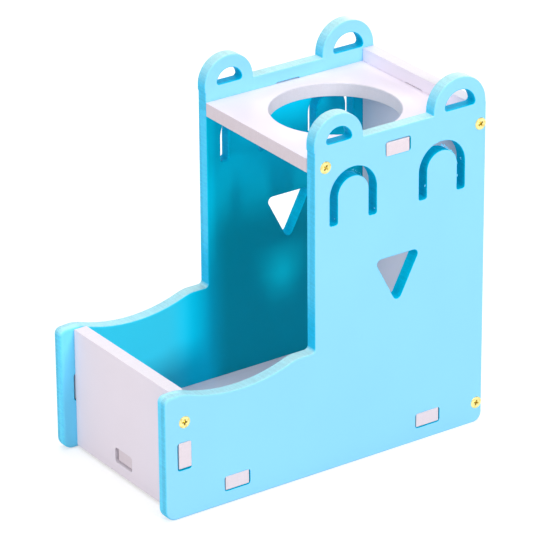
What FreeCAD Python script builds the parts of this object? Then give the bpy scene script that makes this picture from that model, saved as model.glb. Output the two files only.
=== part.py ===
# Stand for a small-animal drinking bottle, with a food tray in front of it.
#
# It is routed from sheets of foamed PVC board. Two blue side boards, cut as a bear's head over
# a low tray wall, carry four white boards between them: a shelf with a round hole that the
# bottle hangs in, a back board, a front board and a floor.
# Tabs on the white boards pass through slots in the boards that they meet, and eight small
# countersunk screws run through the side boards into the edges of the white ones.
#
# Frame: +X is the right side board, -Y the tray end, +Z up. The origin is under the middle of
# the stand, on the surface that it stands on. Lengths are millimetres.
import FreeCAD, Part
import math
import os
import re

import Sketcher

SIZES = {
    # boards and the box that they make
    "board": 5.0,  # thickness of every board
    "overall_width": 72.0,  # over the outer faces of the side boards
    "overall_depth": 137.4,  # front edge to back edge of a side board
    # outline of a side board
    "head_depth": 74.0,  # front of the head to the back edge
    "head_height": 125.5,  # top edge between the ears
    "rim_height": 48.0,  # top edge of the tray wall
    "scoop_front_land": 8.25,  # level rim from the front edge to the dip in the tray wall
    "scoop_rear_land": 8.25,  # level rim from the dip to the head
    "scoop_drop": 4.6,  # how far the dip goes below the rim
    "rim_blend_radius": 12.0,  # rounding where the dip runs out into the rim
    "ear_rise": 0.7,  # ear centres above the top edge
    "front_ear_radius": 10.3,
    "rear_ear_radius": 11.5,
    "ear_wall": 4.9,  # web left round the hole in an ear
    "front_foot_radius": 4.4,
    "rear_foot_radius": 3.5,
    "rim_corner_radius": 2.5,  # top front corner of the tray wall
    "throat_radius": 1.4,  # hollow corner between the rim and the head
    "edge_ease": 0.5,  # bevel along the edges of the side boards
    # face cut in each side board
    "front_eye_margin": 6.25,  # front of the head to the front eye
    "rear_eye_margin": 9.05,  # rear eye to the back edge
    "eye_radius": 8.35,  # centre line of the arched slot
    "eye_slot": 3.5,
    "eye_arch_drop": 20.3,  # centre of the arch below the top edge
    "eye_leg": 10.3,  # straight part of the slot below the arch
    "nose_drop": 48.9,  # top of the nose below the top edge
    "nose_width": 20.0,  # of the triangle before its corners are rounded
    "nose_height": 19.2,
    "nose_corner_radius": 1.8,
    # tabs and slots
    "tab_length": 10.0,
    "slot_clearance": 0.4,  # gap all round a tab
    "slot_corner_radius": 1.0,
    "end_tab_recess": 1.2,  # how far tabs stop short of the front and back faces
    # white boards
    "shelf_drop": 4.8,  # top of the shelf below the top edge
    "bottle_hole_radius": 23.75,
    "floor_underside": 5.7,
    "floor_front_tab": 29.9,  # tab centre from the front edge
    "floor_rear_tab": 24.4,  # tab centre from the back edge
    "front_setback": 5.4,  # front board behind the side boards' front edges
    "front_drop": 0.7,  # top of the front board below the rim
    "front_tab_height": 24.5,  # tab centre
    "ground_gap": 0.9,  # front and back boards stay clear of the ground
    # screws
    "head_diameter": 4.6,
    "shank_diameter": 2.6,
    "screw_length": 14.0,
    "head_angle": 90.0,  # of the cone under the head, in degrees
    "screw_clearance": 0.05,  # radial gap round shank and head
    "pilot_allowance": 1.0,  # pilot hole deeper than the end of the screw
    "recess_span": 2.6,  # cross recess, tip to tip
    "recess_width": 0.6,
    "recess_depth": 0.8,
    "shelf_screw_inset": 4.4,  # from the front edge of the shelf
    "back_screw_inset": 7.5,  # from the top and bottom of the stand
    "front_screw_drop": 9.9,  # below the top edge of the front board
}

FRONT = "(-overall_depth / 2)"
BACK = "(overall_depth / 2)"
OUTER = "(overall_width / 2)"
INNER = "(overall_width / 2 - board)"
HEAD_FRONT = f"({BACK} - head_depth)"
EYE_REACH = "(eye_radius + eye_slot / 2)"
FRONT_EYE_Y = f"({HEAD_FRONT} + front_eye_margin + {EYE_REACH})"
REAR_EYE_Y = f"({BACK} - rear_eye_margin - {EYE_REACH})"
FACE_Y = f"(({FRONT_EYE_Y} + {REAR_EYE_Y}) / 2)"
EYE_Z = "(head_height - eye_arch_drop)"
NOSE_Z = "(head_height - nose_drop)"
EAR_Z = "(head_height + ear_rise)"
FRONT_EAR_Y = f"({HEAD_FRONT} + front_ear_radius)"
REAR_EAR_Y = f"({BACK} - rear_ear_radius)"
SHELF_Z = "(head_height - shelf_drop - board / 2)"
FRONT_TOP = "(rim_height - front_drop)"
FLOOR_Z = "(floor_underside + board / 2)"
FRONT_BOARD_Y = f"({FRONT} + front_setback + board / 2)"
BACK_BOARD_Y = f"({BACK} - board / 2)"
FLOOR_FRONT_TAB_Y = f"({FRONT} + floor_front_tab)"
FLOOR_REAR_TAB_Y = f"({BACK} - floor_rear_tab)"
END_TAB = "(board - end_tab_recess)"
HALF_TAB = "(tab_length / 2)"
BORE_RADIUS = "(shank_diameter / 2 + screw_clearance)"

# Where each screw enters a side board, as (Y, Z).
SCREWS = {
    "shelf": (f"{HEAD_FRONT} + shelf_screw_inset", SHELF_Z),
    "back_top": (BACK_BOARD_Y, "head_height - back_screw_inset"),
    "back_bottom": (BACK_BOARD_Y, "back_screw_inset"),
    "front": (FRONT_BOARD_Y, f"{FRONT_TOP} - front_screw_drop"),
}

SIDES = {"right": 1, "left": -1}
X, Y = 0, 1
NO_LENGTH = 1e-6  # millimetres; shorter counts as nothing
SAME_PLACE = 1e-4  # millimetres; nearer counts as the same point or plane

doc = FreeCAD.newDocument("BottleStand")
sheet = doc.addObject("Spreadsheet::Sheet", "Sizes")
for row, (alias, value) in enumerate(SIZES.items(), start=1):
    sheet.set(f"A{row}", alias.replace("_", " "))
    sheet.set(f"B{row}", str(value))
    sheet.setAlias(f"B{row}", alias)
doc.recompute()


def amount(expression):
    """The number that an expression over the sheet gives."""
    return float(sheet.evalExpression(expression))


def bind(item, name, expression):
    """Ties a property or constraint of an object to an expression over the sheet."""
    words = re.sub(
        r"[a-z_]+",
        lambda found: f"Sizes.{found[0]}" if found[0] in SIZES else found[0],
        expression,
    )
    item.setExpression(name, words)


def new_body(label):
    """An empty body, named for the piece that it becomes."""
    body = doc.addObject("PartDesign::Body", label)
    body.Label = label
    return body


def new_sketch(body, name, role, offset="0"):
    """A sketch on one of the body's origin planes, moved along that plane's normal."""
    planes = [item for item in body.Origin.OriginFeatures if item.Role == role]
    sketch = body.newObject("Sketcher::SketchObject", name)
    sketch.AttachmentSupport = [(planes[0], "")]
    sketch.MapMode = "FlatFace"
    bind(sketch, "AttachmentOffset.Base.z", offset)
    return sketch


def fix(sketch, kind, first, second, expression):
    """Adds a driving constraint between two points, tied to the sheet."""
    value = amount(expression)
    added = sketch.addConstraint(Sketcher.Constraint(kind, *first, *second, value))
    bind(sketch, f"Constraints[{added}]", expression)


ORIGIN = (-1, 1)


def place(sketch, point, across, up):
    """Holds a sketch point at its distances across and up from the sketch origin."""
    fix(sketch, "DistanceX", ORIGIN, point, across)
    fix(sketch, "DistanceY", ORIGIN, point, up)


def add_loop(sketch, corners, arcs=None):
    """Draws a closed outline through corners given as (across, up) expressions.

    arcs gives, for the side that leaves a corner, its centre and whether it turns left; the
    other sides are straight.
    """
    arcs = arcs or {}
    count = len(corners)
    spots = [FreeCAD.Vector(amount(a), amount(b), 0) for a, b in corners]
    upright = FreeCAD.Vector(0, 0, 1)
    sides = []
    for index in range(count):
        start, end = spots[index], spots[(index + 1) % count]
        if index not in arcs:
            side = sketch.addGeometry(Part.LineSegment(start, end), False)
            sides.append((side, 1, 2))
            continue
        centre = FreeCAD.Vector(amount(arcs[index][0]), amount(arcs[index][1]), 0)
        turns_left = arcs[index][2]
        ends = (start, end) if turns_left else (end, start)
        angles = [math.atan2(spot.y - centre.y, spot.x - centre.x) for spot in ends]
        circle = Part.Circle(centre, upright, (start - centre).Length)
        side = sketch.addGeometry(Part.ArcOfCircle(circle, *angles), False)
        sides.append((side, 1, 2) if turns_left else (side, 2, 1))
    for index in range(count):
        side, _, end = sides[index]
        following, start, _ = sides[(index + 1) % count]
        sketch.addConstraint(Sketcher.Constraint("Coincident", side, end, following, start))
    for index, (across, up) in enumerate(corners):
        place(sketch, sides[index][:2], across, up)
    for index, (_, up, _) in arcs.items():
        fix(sketch, "DistanceY", ORIGIN, (sides[index][0], 3), up)


def add_circle(sketch, across, up, radius):
    """Draws a circle with its centre and radius tied to the sheet."""
    centre = FreeCAD.Vector(amount(across), amount(up), 0)
    shape = Part.Circle(centre, FreeCAD.Vector(0, 0, 1), amount(radius))
    circle = sketch.addGeometry(shape, False)
    place(sketch, (circle, 3), across, up)
    added = sketch.addConstraint(Sketcher.Constraint("Radius", circle, amount(radius)))
    bind(sketch, f"Constraints[{added}]", radius)


def rectangle(across, up, width, height):
    """The four corners of a rectangle about a centre."""
    left, right = f"{across} - ({width}) / 2", f"{across} + ({width}) / 2"
    low, high = f"{up} - ({height}) / 2", f"{up} + ({height}) / 2"
    return [(left, low), (right, low), (right, high), (left, high)]


def slot(across, up, width, height):
    """The corners of a slot for a tab of the given width and height."""
    return rectangle(
        across, up, f"{width} + 2 * slot_clearance", f"{height} + 2 * slot_clearance"
    )


def pad(body, sketch, length, reverse=False):
    """Extrudes a sketch into material."""
    feature = body.newObject("PartDesign::Pad", f"{sketch.Name}Pad")
    feature.Profile = sketch
    feature.Reversed = reverse
    bind(feature, "Length", length)
    doc.recompute()


def pocket(body, sketch, length=None, reverse=False):
    """Cuts a sketch out of the body, through all of it where no length is given."""
    before = body.Shape.Volume
    feature = body.newObject("PartDesign::Pocket", f"{sketch.Name}Pocket")
    feature.Profile = sketch
    feature.Reversed = reverse
    if length is None:
        feature.Type = "ThroughAll"
    else:
        bind(feature, "Length", length)
    doc.recompute()
    if body.Shape.Volume >= before:
        raise ValueError(f"{feature.Name} cuts nothing")
    return feature


def round_edges(body, name, radius, chosen):
    """Rounds the chosen edges of the body."""
    feature = body.newObject("PartDesign::Fillet", name)
    feature.Base = (feature.BaseFeature, chosen)
    bind(feature, "Radius", radius)
    doc.recompute()


def bevel_edges(body, name, size, chosen):
    """Bevels the edges round the chosen faces of the body."""
    feature = body.newObject("PartDesign::Chamfer", name)
    feature.Base = (feature.BaseFeature, chosen)
    bind(feature, "Size", size)
    doc.recompute()


def corner_edges(body, axis, corners):
    """Names of the edges along an axis, through the board, that stand at given corners."""
    wanted = [(amount(across), amount(up)) for across, up in corners]
    names = []
    for index, edge in enumerate(body.Shape.Edges, start=1):
        first, last = edge.firstVertex().Point, edge.lastVertex().Point
        run = abs(first[axis] - last[axis])
        if run < NO_LENGTH or (first - last).Length > run + NO_LENGTH:
            continue
        spot = (first[1 - axis], first.z)
        if any(math.dist(spot, corner) < SAME_PLACE for corner in wanted):
            names.append(f"Edge{index}")
    if len(names) != len(wanted):
        raise ValueError(f"{len(names)} of {len(wanted)} corners found")
    return names


def face_names(body, across):
    """Names of the flat faces square to X that lie at the given X."""
    names = []
    for index, face in enumerate(body.Shape.Faces, start=1):
        box = face.BoundBox
        if box.XLength < NO_LENGTH and abs(box.XMin - amount(across)) < SAME_PLACE:
            names.append(f"Face{index}")
    return names


def screw_holes(body, sketch, reverse):
    """Drills and countersinks the holes that the screws pass through."""
    doc.recompute()
    before = body.Shape.Volume
    feature = body.newObject("PartDesign::Hole", "ScrewHoles")
    feature.Profile = sketch
    feature.Reversed = reverse
    feature.DepthType = "ThroughAll"
    feature.HoleCutType = "Countersink"
    feature.HoleCutCustomValues = True
    bind(feature, "Diameter", f"2 * {BORE_RADIUS}")
    bind(feature, "HoleCutDiameter", "head_diameter + 2 * screw_clearance")
    bind(feature, "HoleCutCountersinkAngle", "head_angle")
    doc.recompute()
    if body.Shape.Volume >= before:
        raise ValueError("the screw holes cut nothing")


def side_board_outline(sketch):
    """The head with its two ears, over the tray wall with its dip."""
    scoop_front = f"({FRONT} + scoop_front_land)"
    scoop_back = f"({HEAD_FRONT} - scoop_rear_land)"
    scoop_y = f"(({scoop_front} + {scoop_back}) / 2)"
    half_scoop = f"(({scoop_back} - {scoop_front}) / 2)"
    scoop_radius = f"(({half_scoop} ^ 2 + scoop_drop ^ 2) / (2 * scoop_drop))"
    scoop_z = f"(rim_height - scoop_drop + {scoop_radius})"
    rear_ear_foot = f"{BACK} - 2 * rear_ear_radius"
    front_ear_foot = f"{HEAD_FRONT} + 2 * front_ear_radius"
    corners = {
        "front foot": (FRONT, "0"),
        "rear foot": (BACK, "0"),
        "rear ear back": (BACK, EAR_Z),
        "rear ear front": (rear_ear_foot, EAR_Z),
        "rear ear hollow": (rear_ear_foot, "head_height"),
        "front ear hollow": (front_ear_foot, "head_height"),
        "front ear back": (front_ear_foot, EAR_Z),
        "front ear front": (HEAD_FRONT, EAR_Z),
        "throat": (HEAD_FRONT, "rim_height"),
        "scoop back": (scoop_back, "rim_height"),
        "scoop front": (scoop_front, "rim_height"),
        "rim corner": (FRONT, "rim_height"),
    }
    names = list(corners)
    arcs = {
        names.index("rear ear back"): (REAR_EAR_Y, EAR_Z, True),
        names.index("front ear back"): (FRONT_EAR_Y, EAR_Z, True),
        names.index("scoop back"): (scoop_y, scoop_z, False),
    }
    add_loop(sketch, list(corners.values()), arcs)
    return corners


def eye_outline(sketch, eye_y):
    """An arched slot: a closed, smiling eye. Gives back the corners of its feet."""
    outer, inner = EYE_REACH, "(eye_radius - eye_slot / 2)"
    edges = [f"{eye_y} {step}" for step in (f"+ {outer}", f"+ {inner}", f"- {inner}", f"- {outer}")]
    feet = [(edge, f"{EYE_Z} - eye_leg") for edge in edges]
    tops = [(edge, EYE_Z) for edge in edges]
    corners = [feet[0], tops[0], tops[3], feet[3], feet[2], tops[2], tops[1], feet[1]]
    arcs = {1: (eye_y, EYE_Z, True), 5: (eye_y, EYE_Z, False)}
    add_loop(sketch, corners, arcs)
    return feet


def side_board(label, side):
    """One blue side board, cut from its outer face inwards."""
    body = new_body(label)
    outer = f"({side} * {OUTER})"
    inner = f"({side} * {INNER})"
    right = side > 0

    def cut(name, radius, loops, arcs=None):
        sketch = new_sketch(body, name, "YZ_Plane", outer)
        for loop in loops:
            add_loop(sketch, loop, arcs)
        pocket(body, sketch, reverse=not right)
        round_edges(body, f"{name}Corners", radius, corner_edges(body, X, sum(loops, [])))

    outline = new_sketch(body, "Outline", "YZ_Plane", outer)
    corners = side_board_outline(outline)
    pad(body, outline, "board", reverse=right)
    rounded = {
        "front_foot_radius": ["front foot"],
        "rear_foot_radius": ["rear foot"],
        "rim_corner_radius": ["rim corner"],
        "throat_radius": ["throat"],
        "rim_blend_radius": ["scoop front", "scoop back"],
    }
    for radius, names in rounded.items():
        chosen = corner_edges(body, X, [corners[name] for name in names])
        round_edges(body, "OutlineCorner", radius, chosen)
    faces = face_names(body, outer) + face_names(body, inner)
    bevel_edges(body, "EasedEdges", "edge_ease", faces)

    eyes = new_sketch(body, "Eyes", "YZ_Plane", outer)
    feet = eye_outline(eyes, FRONT_EYE_Y) + eye_outline(eyes, REAR_EYE_Y)
    pocket(body, eyes, reverse=not right)
    foot_radius = "min(slot_corner_radius; eye_slot / 4)"
    round_edges(body, "EyeFeet", foot_radius, corner_edges(body, X, feet))

    nose = [
        (FACE_Y, f"{NOSE_Z} - nose_height"),
        (f"{FACE_Y} + nose_width / 2", NOSE_Z),
        (f"{FACE_Y} - nose_width / 2", NOSE_Z),
    ]
    cut("Nose", "nose_corner_radius", [nose])

    ears = [(FRONT_EAR_Y, "front_ear_radius"), (REAR_EAR_Y, "rear_ear_radius")]
    holes = new_sketch(body, "EarHoles", "YZ_Plane", outer)
    ends = []
    for ear_y, radius in ears:
        loop = [(f"{ear_y} {sign} ({radius} - ear_wall)", EAR_Z) for sign in "+-"]
        add_loop(holes, loop, {0: (ear_y, EAR_Z, True)})
        ends += loop
    pocket(body, holes, reverse=not right)
    round_edges(body, "EarHoleCorners", "slot_corner_radius", corner_edges(body, X, ends))

    slots = [
        slot(FACE_Y, SHELF_Z, "tab_length", "board"),
        slot(FLOOR_FRONT_TAB_Y, FLOOR_Z, "tab_length", "board"),
        slot(FLOOR_REAR_TAB_Y, FLOOR_Z, "tab_length", "board"),
        slot(FRONT_BOARD_Y, "front_tab_height", "board", "tab_length"),
    ]
    cut("TabSlots", "slot_corner_radius", slots)

    bores = new_sketch(body, "ScrewPlaces", "YZ_Plane", outer)
    for across, up in SCREWS.values():
        add_circle(bores, across, up, BORE_RADIUS)
    screw_holes(body, bores, reverse=not right)
    return body


def tabbed(low, high, side_tabs=(), low_tab=False, high_tab=False):
    """Corners of a white board between the side boards, with its tabs.

    side_tabs lists the centres of the tabs on both ends, from low to high. low_tab and
    high_tab say whether the low and high edges carry a tab in their middle.
    """
    corners = [(f"-{INNER}", low)]
    if low_tab:
        reach = f"{low} - {END_TAB}"
        corners += [(f"-{HALF_TAB}", low), (f"-{HALF_TAB}", reach), (HALF_TAB, reach), (HALF_TAB, low)]
    corners.append((INNER, low))
    for centre in side_tabs:
        start, stop = f"{centre} - {HALF_TAB}", f"{centre} + {HALF_TAB}"
        corners += [(INNER, start), (OUTER, start), (OUTER, stop), (INNER, stop)]
    corners.append((INNER, high))
    if high_tab:
        reach = f"{high} + {END_TAB}"
        corners += [(HALF_TAB, high), (HALF_TAB, reach), (f"-{HALF_TAB}", reach), (f"-{HALF_TAB}", high)]
    corners.append((f"-{INNER}", high))
    for centre in reversed(side_tabs):
        start, stop = f"{centre} + {HALF_TAB}", f"{centre} - {HALF_TAB}"
        corners += [(f"-{part}", end) for part, end in
                    ((INNER, start), (OUTER, start), (OUTER, stop), (INNER, stop))]
    return corners


def pilot_holes(body, places):
    """Blind holes in both ends of a white board for the screws that hold it."""
    sketch = new_sketch(body, "PilotPlaces", "YZ_Plane", INNER)
    for name in places:
        add_circle(sketch, *SCREWS[name], BORE_RADIUS)
    right = pocket(body, sketch, "screw_length - board + pilot_allowance")
    planes = [item for item in body.Origin.OriginFeatures if item.Role == "YZ_Plane"]
    both = body.newObject("PartDesign::Mirrored", "PilotPlacesBothEnds")
    both.Originals = [right]
    both.MirrorPlane = (planes[0], [""])
    body.Tip = both
    doc.recompute()


def bottle_shelf():
    """The top board, with the round hole that the bottle hangs in."""
    body = new_body("bottle_shelf")
    sketch = new_sketch(body, "ShelfOutline", "XY_Plane", f"{SHELF_Z} - board / 2")
    back = f"({BACK} - board)"
    add_loop(sketch, tabbed(HEAD_FRONT, back, [FACE_Y], high_tab=True))
    add_circle(sketch, "0", f"({HEAD_FRONT} + {back}) / 2", "bottle_hole_radius")
    pad(body, sketch, "board")
    pilot_holes(body, ["shelf"])
    return body


def tray_floor():
    """The bottom board of the tray, tabbed into all four boards round it."""
    body = new_body("tray_floor")
    sketch = new_sketch(body, "FloorOutline", "XY_Plane", "floor_underside")
    front, back = f"({FRONT_BOARD_Y} + board / 2)", f"({BACK} - board)"
    tabs = [FLOOR_FRONT_TAB_Y, FLOOR_REAR_TAB_Y]
    add_loop(sketch, tabbed(front, back, tabs, low_tab=True, high_tab=True))
    pad(body, sketch, "board")
    return body


def front_board():
    """The low board across the front of the tray."""
    body = new_body("front_board")
    sketch = new_sketch(body, "FrontOutline", "XZ_Plane", f"-({FRONT_BOARD_Y} + board / 2)")
    add_loop(sketch, tabbed("ground_gap", FRONT_TOP, ["front_tab_height"]))
    pad(body, sketch, "board")
    cross_slots(body, [FLOOR_Z], f"-({FRONT_BOARD_Y} - board / 2)")
    pilot_holes(body, ["front"])
    return body


def back_board():
    """The tall board that closes the back."""
    body = new_body("back_board")
    sketch = new_sketch(body, "BackOutline", "XZ_Plane", f"-{BACK}")
    add_loop(sketch, tabbed("ground_gap", "head_height"))
    pad(body, sketch, "board")
    cross_slots(body, [SHELF_Z, FLOOR_Z], f"-({BACK} - board)")
    pilot_holes(body, ["back_top", "back_bottom"])
    return body


def cross_slots(body, heights, face):
    """Slots in a front or back board for the tabs in the middle of the level boards."""
    sketch = new_sketch(body, "TabSlots", "XZ_Plane", face)
    corners = []
    for height in heights:
        loop = slot("0", height, "tab_length", "board")
        add_loop(sketch, loop)
        corners += loop
    pocket(body, sketch)
    round_edges(body, "TabSlotCorners", "slot_corner_radius", corner_edges(body, Y, corners))


def screw(label, side, across, up):
    """A countersunk cross-recess screw, its head flush with the side board's face."""
    body = new_body(label)
    head, shank = "head_diameter / 2", "shank_diameter / 2"
    cone = f"({head} - {shank}) / tan(head_angle / 2)"
    profile = new_sketch(body, "ScrewProfile", "XZ_Plane")
    add_loop(profile, [
        ("0", "-screw_length"),
        (shank, "-screw_length"),
        (shank, f"-{cone}"),
        (head, "0"),
        ("0", "0"),
    ])
    turned = body.newObject("PartDesign::Revolution", "ScrewTurned")
    turned.Profile = profile
    turned.ReferenceAxis = (profile, ["V_Axis"])
    doc.recompute()
    recess = new_sketch(body, "CrossRecess", "XY_Plane")
    near, far = "recess_width / 2", "recess_span / 2"
    quarter = [(near, near), (near, far), (f"-{near}", far)]
    cross = list(quarter)
    for _ in range(3):
        quarter = [(f"-({b})", a) for a, b in quarter]
        cross += quarter
    add_loop(recess, cross)
    pocket(body, recess, "recess_depth")
    body.Placement.Rotation = FreeCAD.Rotation(FreeCAD.Vector(0, 1, 0), 90 * side)
    bind(body, "Placement.Base.x", f"{side} * {OUTER}")
    bind(body, "Placement.Base.y", across)
    bind(body, "Placement.Base.z", up)
    return body


def check(bodies):
    """Stops if any object failed or any piece is not one valid solid."""
    for item in doc.Objects:
        if {"Invalid", "Error"} & set(item.State):
            raise ValueError(f"{item.Name} failed")
    for body in bodies:
        shape = body.Shape
        if shape.isNull() or not shape.isValid() or len(shape.Solids) != 1:
            raise ValueError(f"{body.Label} is not one valid solid")


def main():
    """Builds every piece and writes it to a file of its own name."""
    bodies = [side_board(f"{name}_side_board", side) for name, side in SIDES.items()]
    bodies += [bottle_shelf(), tray_floor(), front_board(), back_board()]
    for name, side in SIDES.items():
        for place_name, (across, up) in SCREWS.items():
            bodies.append(screw(f"{name}_screw_{place_name}", side, across, up))
    doc.recompute()
    check(bodies)
    os.makedirs("parts", exist_ok=True)
    for body in bodies:
        body.Shape.exportStep(f"parts/{body.Label}.step")
        print(f"{body.Label}: {body.Shape.Volume / 1000:.2f} cm3")


main()
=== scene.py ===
"""Looks of a stand for a small-animal drinking bottle, with a food tray in front of it.

The stand is routed from 5 mm foamed PVC sheet: two sky-blue side boards cut as a bear, four
white boards between them, and eight brass-plated screws. Lengths are millimetres until a mesh
is written, which is in metres. +X is the right side board, -Y the tray end and +Z up.
"""

import logging
import math
from dataclasses import dataclass, field
from enum import Enum

import bmesh
import bpy
from mathutils import Matrix, Vector


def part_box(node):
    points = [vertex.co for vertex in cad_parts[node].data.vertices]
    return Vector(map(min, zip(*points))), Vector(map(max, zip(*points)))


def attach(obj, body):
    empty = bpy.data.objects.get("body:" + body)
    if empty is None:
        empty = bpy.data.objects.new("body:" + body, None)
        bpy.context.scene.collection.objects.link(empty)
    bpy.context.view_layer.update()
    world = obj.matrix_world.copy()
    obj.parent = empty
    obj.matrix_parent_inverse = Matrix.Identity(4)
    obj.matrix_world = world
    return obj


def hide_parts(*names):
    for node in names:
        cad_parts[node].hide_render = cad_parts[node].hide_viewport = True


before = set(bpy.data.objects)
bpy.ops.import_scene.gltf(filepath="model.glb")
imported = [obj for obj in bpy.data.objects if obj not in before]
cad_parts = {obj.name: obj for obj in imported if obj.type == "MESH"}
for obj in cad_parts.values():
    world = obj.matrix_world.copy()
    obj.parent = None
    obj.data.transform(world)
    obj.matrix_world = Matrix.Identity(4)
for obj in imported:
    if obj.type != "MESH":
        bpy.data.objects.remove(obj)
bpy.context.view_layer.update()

MM = 0.001
BODY = "root"
SEED = 11

logging.basicConfig(level=logging.INFO, format="%(name)s: %(message)s")
log = logging.getLogger("bottle_stand")


class Slot(Enum):
    """Material slots of the record."""

    BLUE = "blue_pvc_board"
    WHITE = "white_pvc_board"
    BRASS = "brass_plated_screw"


class Side(Enum):
    """The two side boards, with the sign of X on which each lies."""

    RIGHT = 1
    LEFT = -1


class Lie(Enum):
    """How a board lies: its across, up and thickness axes as X, Y, Z indices."""

    SIDEWAYS = (1, 2, 0)
    LEVEL = (0, 1, 2)
    UPRIGHT = (0, 2, 1)


class Screw(Enum):
    """The four screws in each side board, with how far each wandered from its mark.

    The drift is along Y and Z in millimetres, as the photograph shows it.
    """

    SHELF = ("shelf", 0.1, -0.4)
    BACK_TOP = ("back_top", 0.1, -0.2)
    BACK_BOTTOM = ("back_bottom", 0.1, 0.25)
    FRONT = ("front", 0.15, -0.05)

    def node(self, side: Side) -> str:
        """Name of the screw's CAD node in a side board."""
        return f"{side.name.lower()}_screw_{self.value[0]}"

    def place(self, side: Side) -> tuple[float, float]:
        """Where the screw stands, as Y and Z in millimetres."""
        node, (_, along, up) = self.node(side), self.value
        return middle(node, 1) + along, middle(node, 2) + up


def linear(hex_colour: str) -> tuple[float, float, float, float]:
    """Turns an sRGB hex colour into the linear values that a shader takes.

    Args:
        hex_colour: Six hex digits, such as "9BE6FF".

    Returns:
        Red, green, blue and an alpha of 1.
    """
    parts = [int(hex_colour[i:i + 2], 16) / 255 for i in (0, 2, 4)]
    red, green, blue = (c / 12.92 if c <= 0.04045 else ((c + 0.055) / 1.055) ** 2.4 for c in parts)
    return red, green, blue, 1.0


def add(tree: bpy.types.NodeTree, kind: str, settings: dict | None = None, **links) -> bpy.types.Node:
    """Adds a node and sets or links its inputs.

    Args:
        tree: Node tree that takes the node.
        kind: Blender's name of the node type.
        settings: Properties of the node, set before its inputs.
        **links: Input names, or "i" and an index, each with a value or a socket to link.

    Returns:
        The node.
    """
    node = tree.nodes.new(kind)
    for name, value in (settings or {}).items():
        setattr(node, name, value)
    for name, value in links.items():
        key = int(name[1:]) if name[0] == "i" and name[1:].isdigit() else name.replace("_", " ")
        socket = node.inputs[key]
        if isinstance(value, bpy.types.NodeSocket):
            tree.links.new(value, socket)
        else:
            socket.default_value = value
    return node


def new_material(name: str) -> tuple[bpy.types.Material, bpy.types.NodeTree]:
    """Makes an empty node material.

    Args:
        name: Name of the material.

    Returns:
        The material and its node tree.
    """
    material = bpy.data.materials.new(name)
    material.use_nodes = True
    material.node_tree.nodes.clear()
    return material, material.node_tree


def link_object(name: str, data: bpy.types.ID | None) -> bpy.types.Object:
    """Makes an object for some data and links it to the scene."""
    made = bpy.data.objects.new(name, data)
    bpy.context.scene.collection.objects.link(made)
    return made


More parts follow.
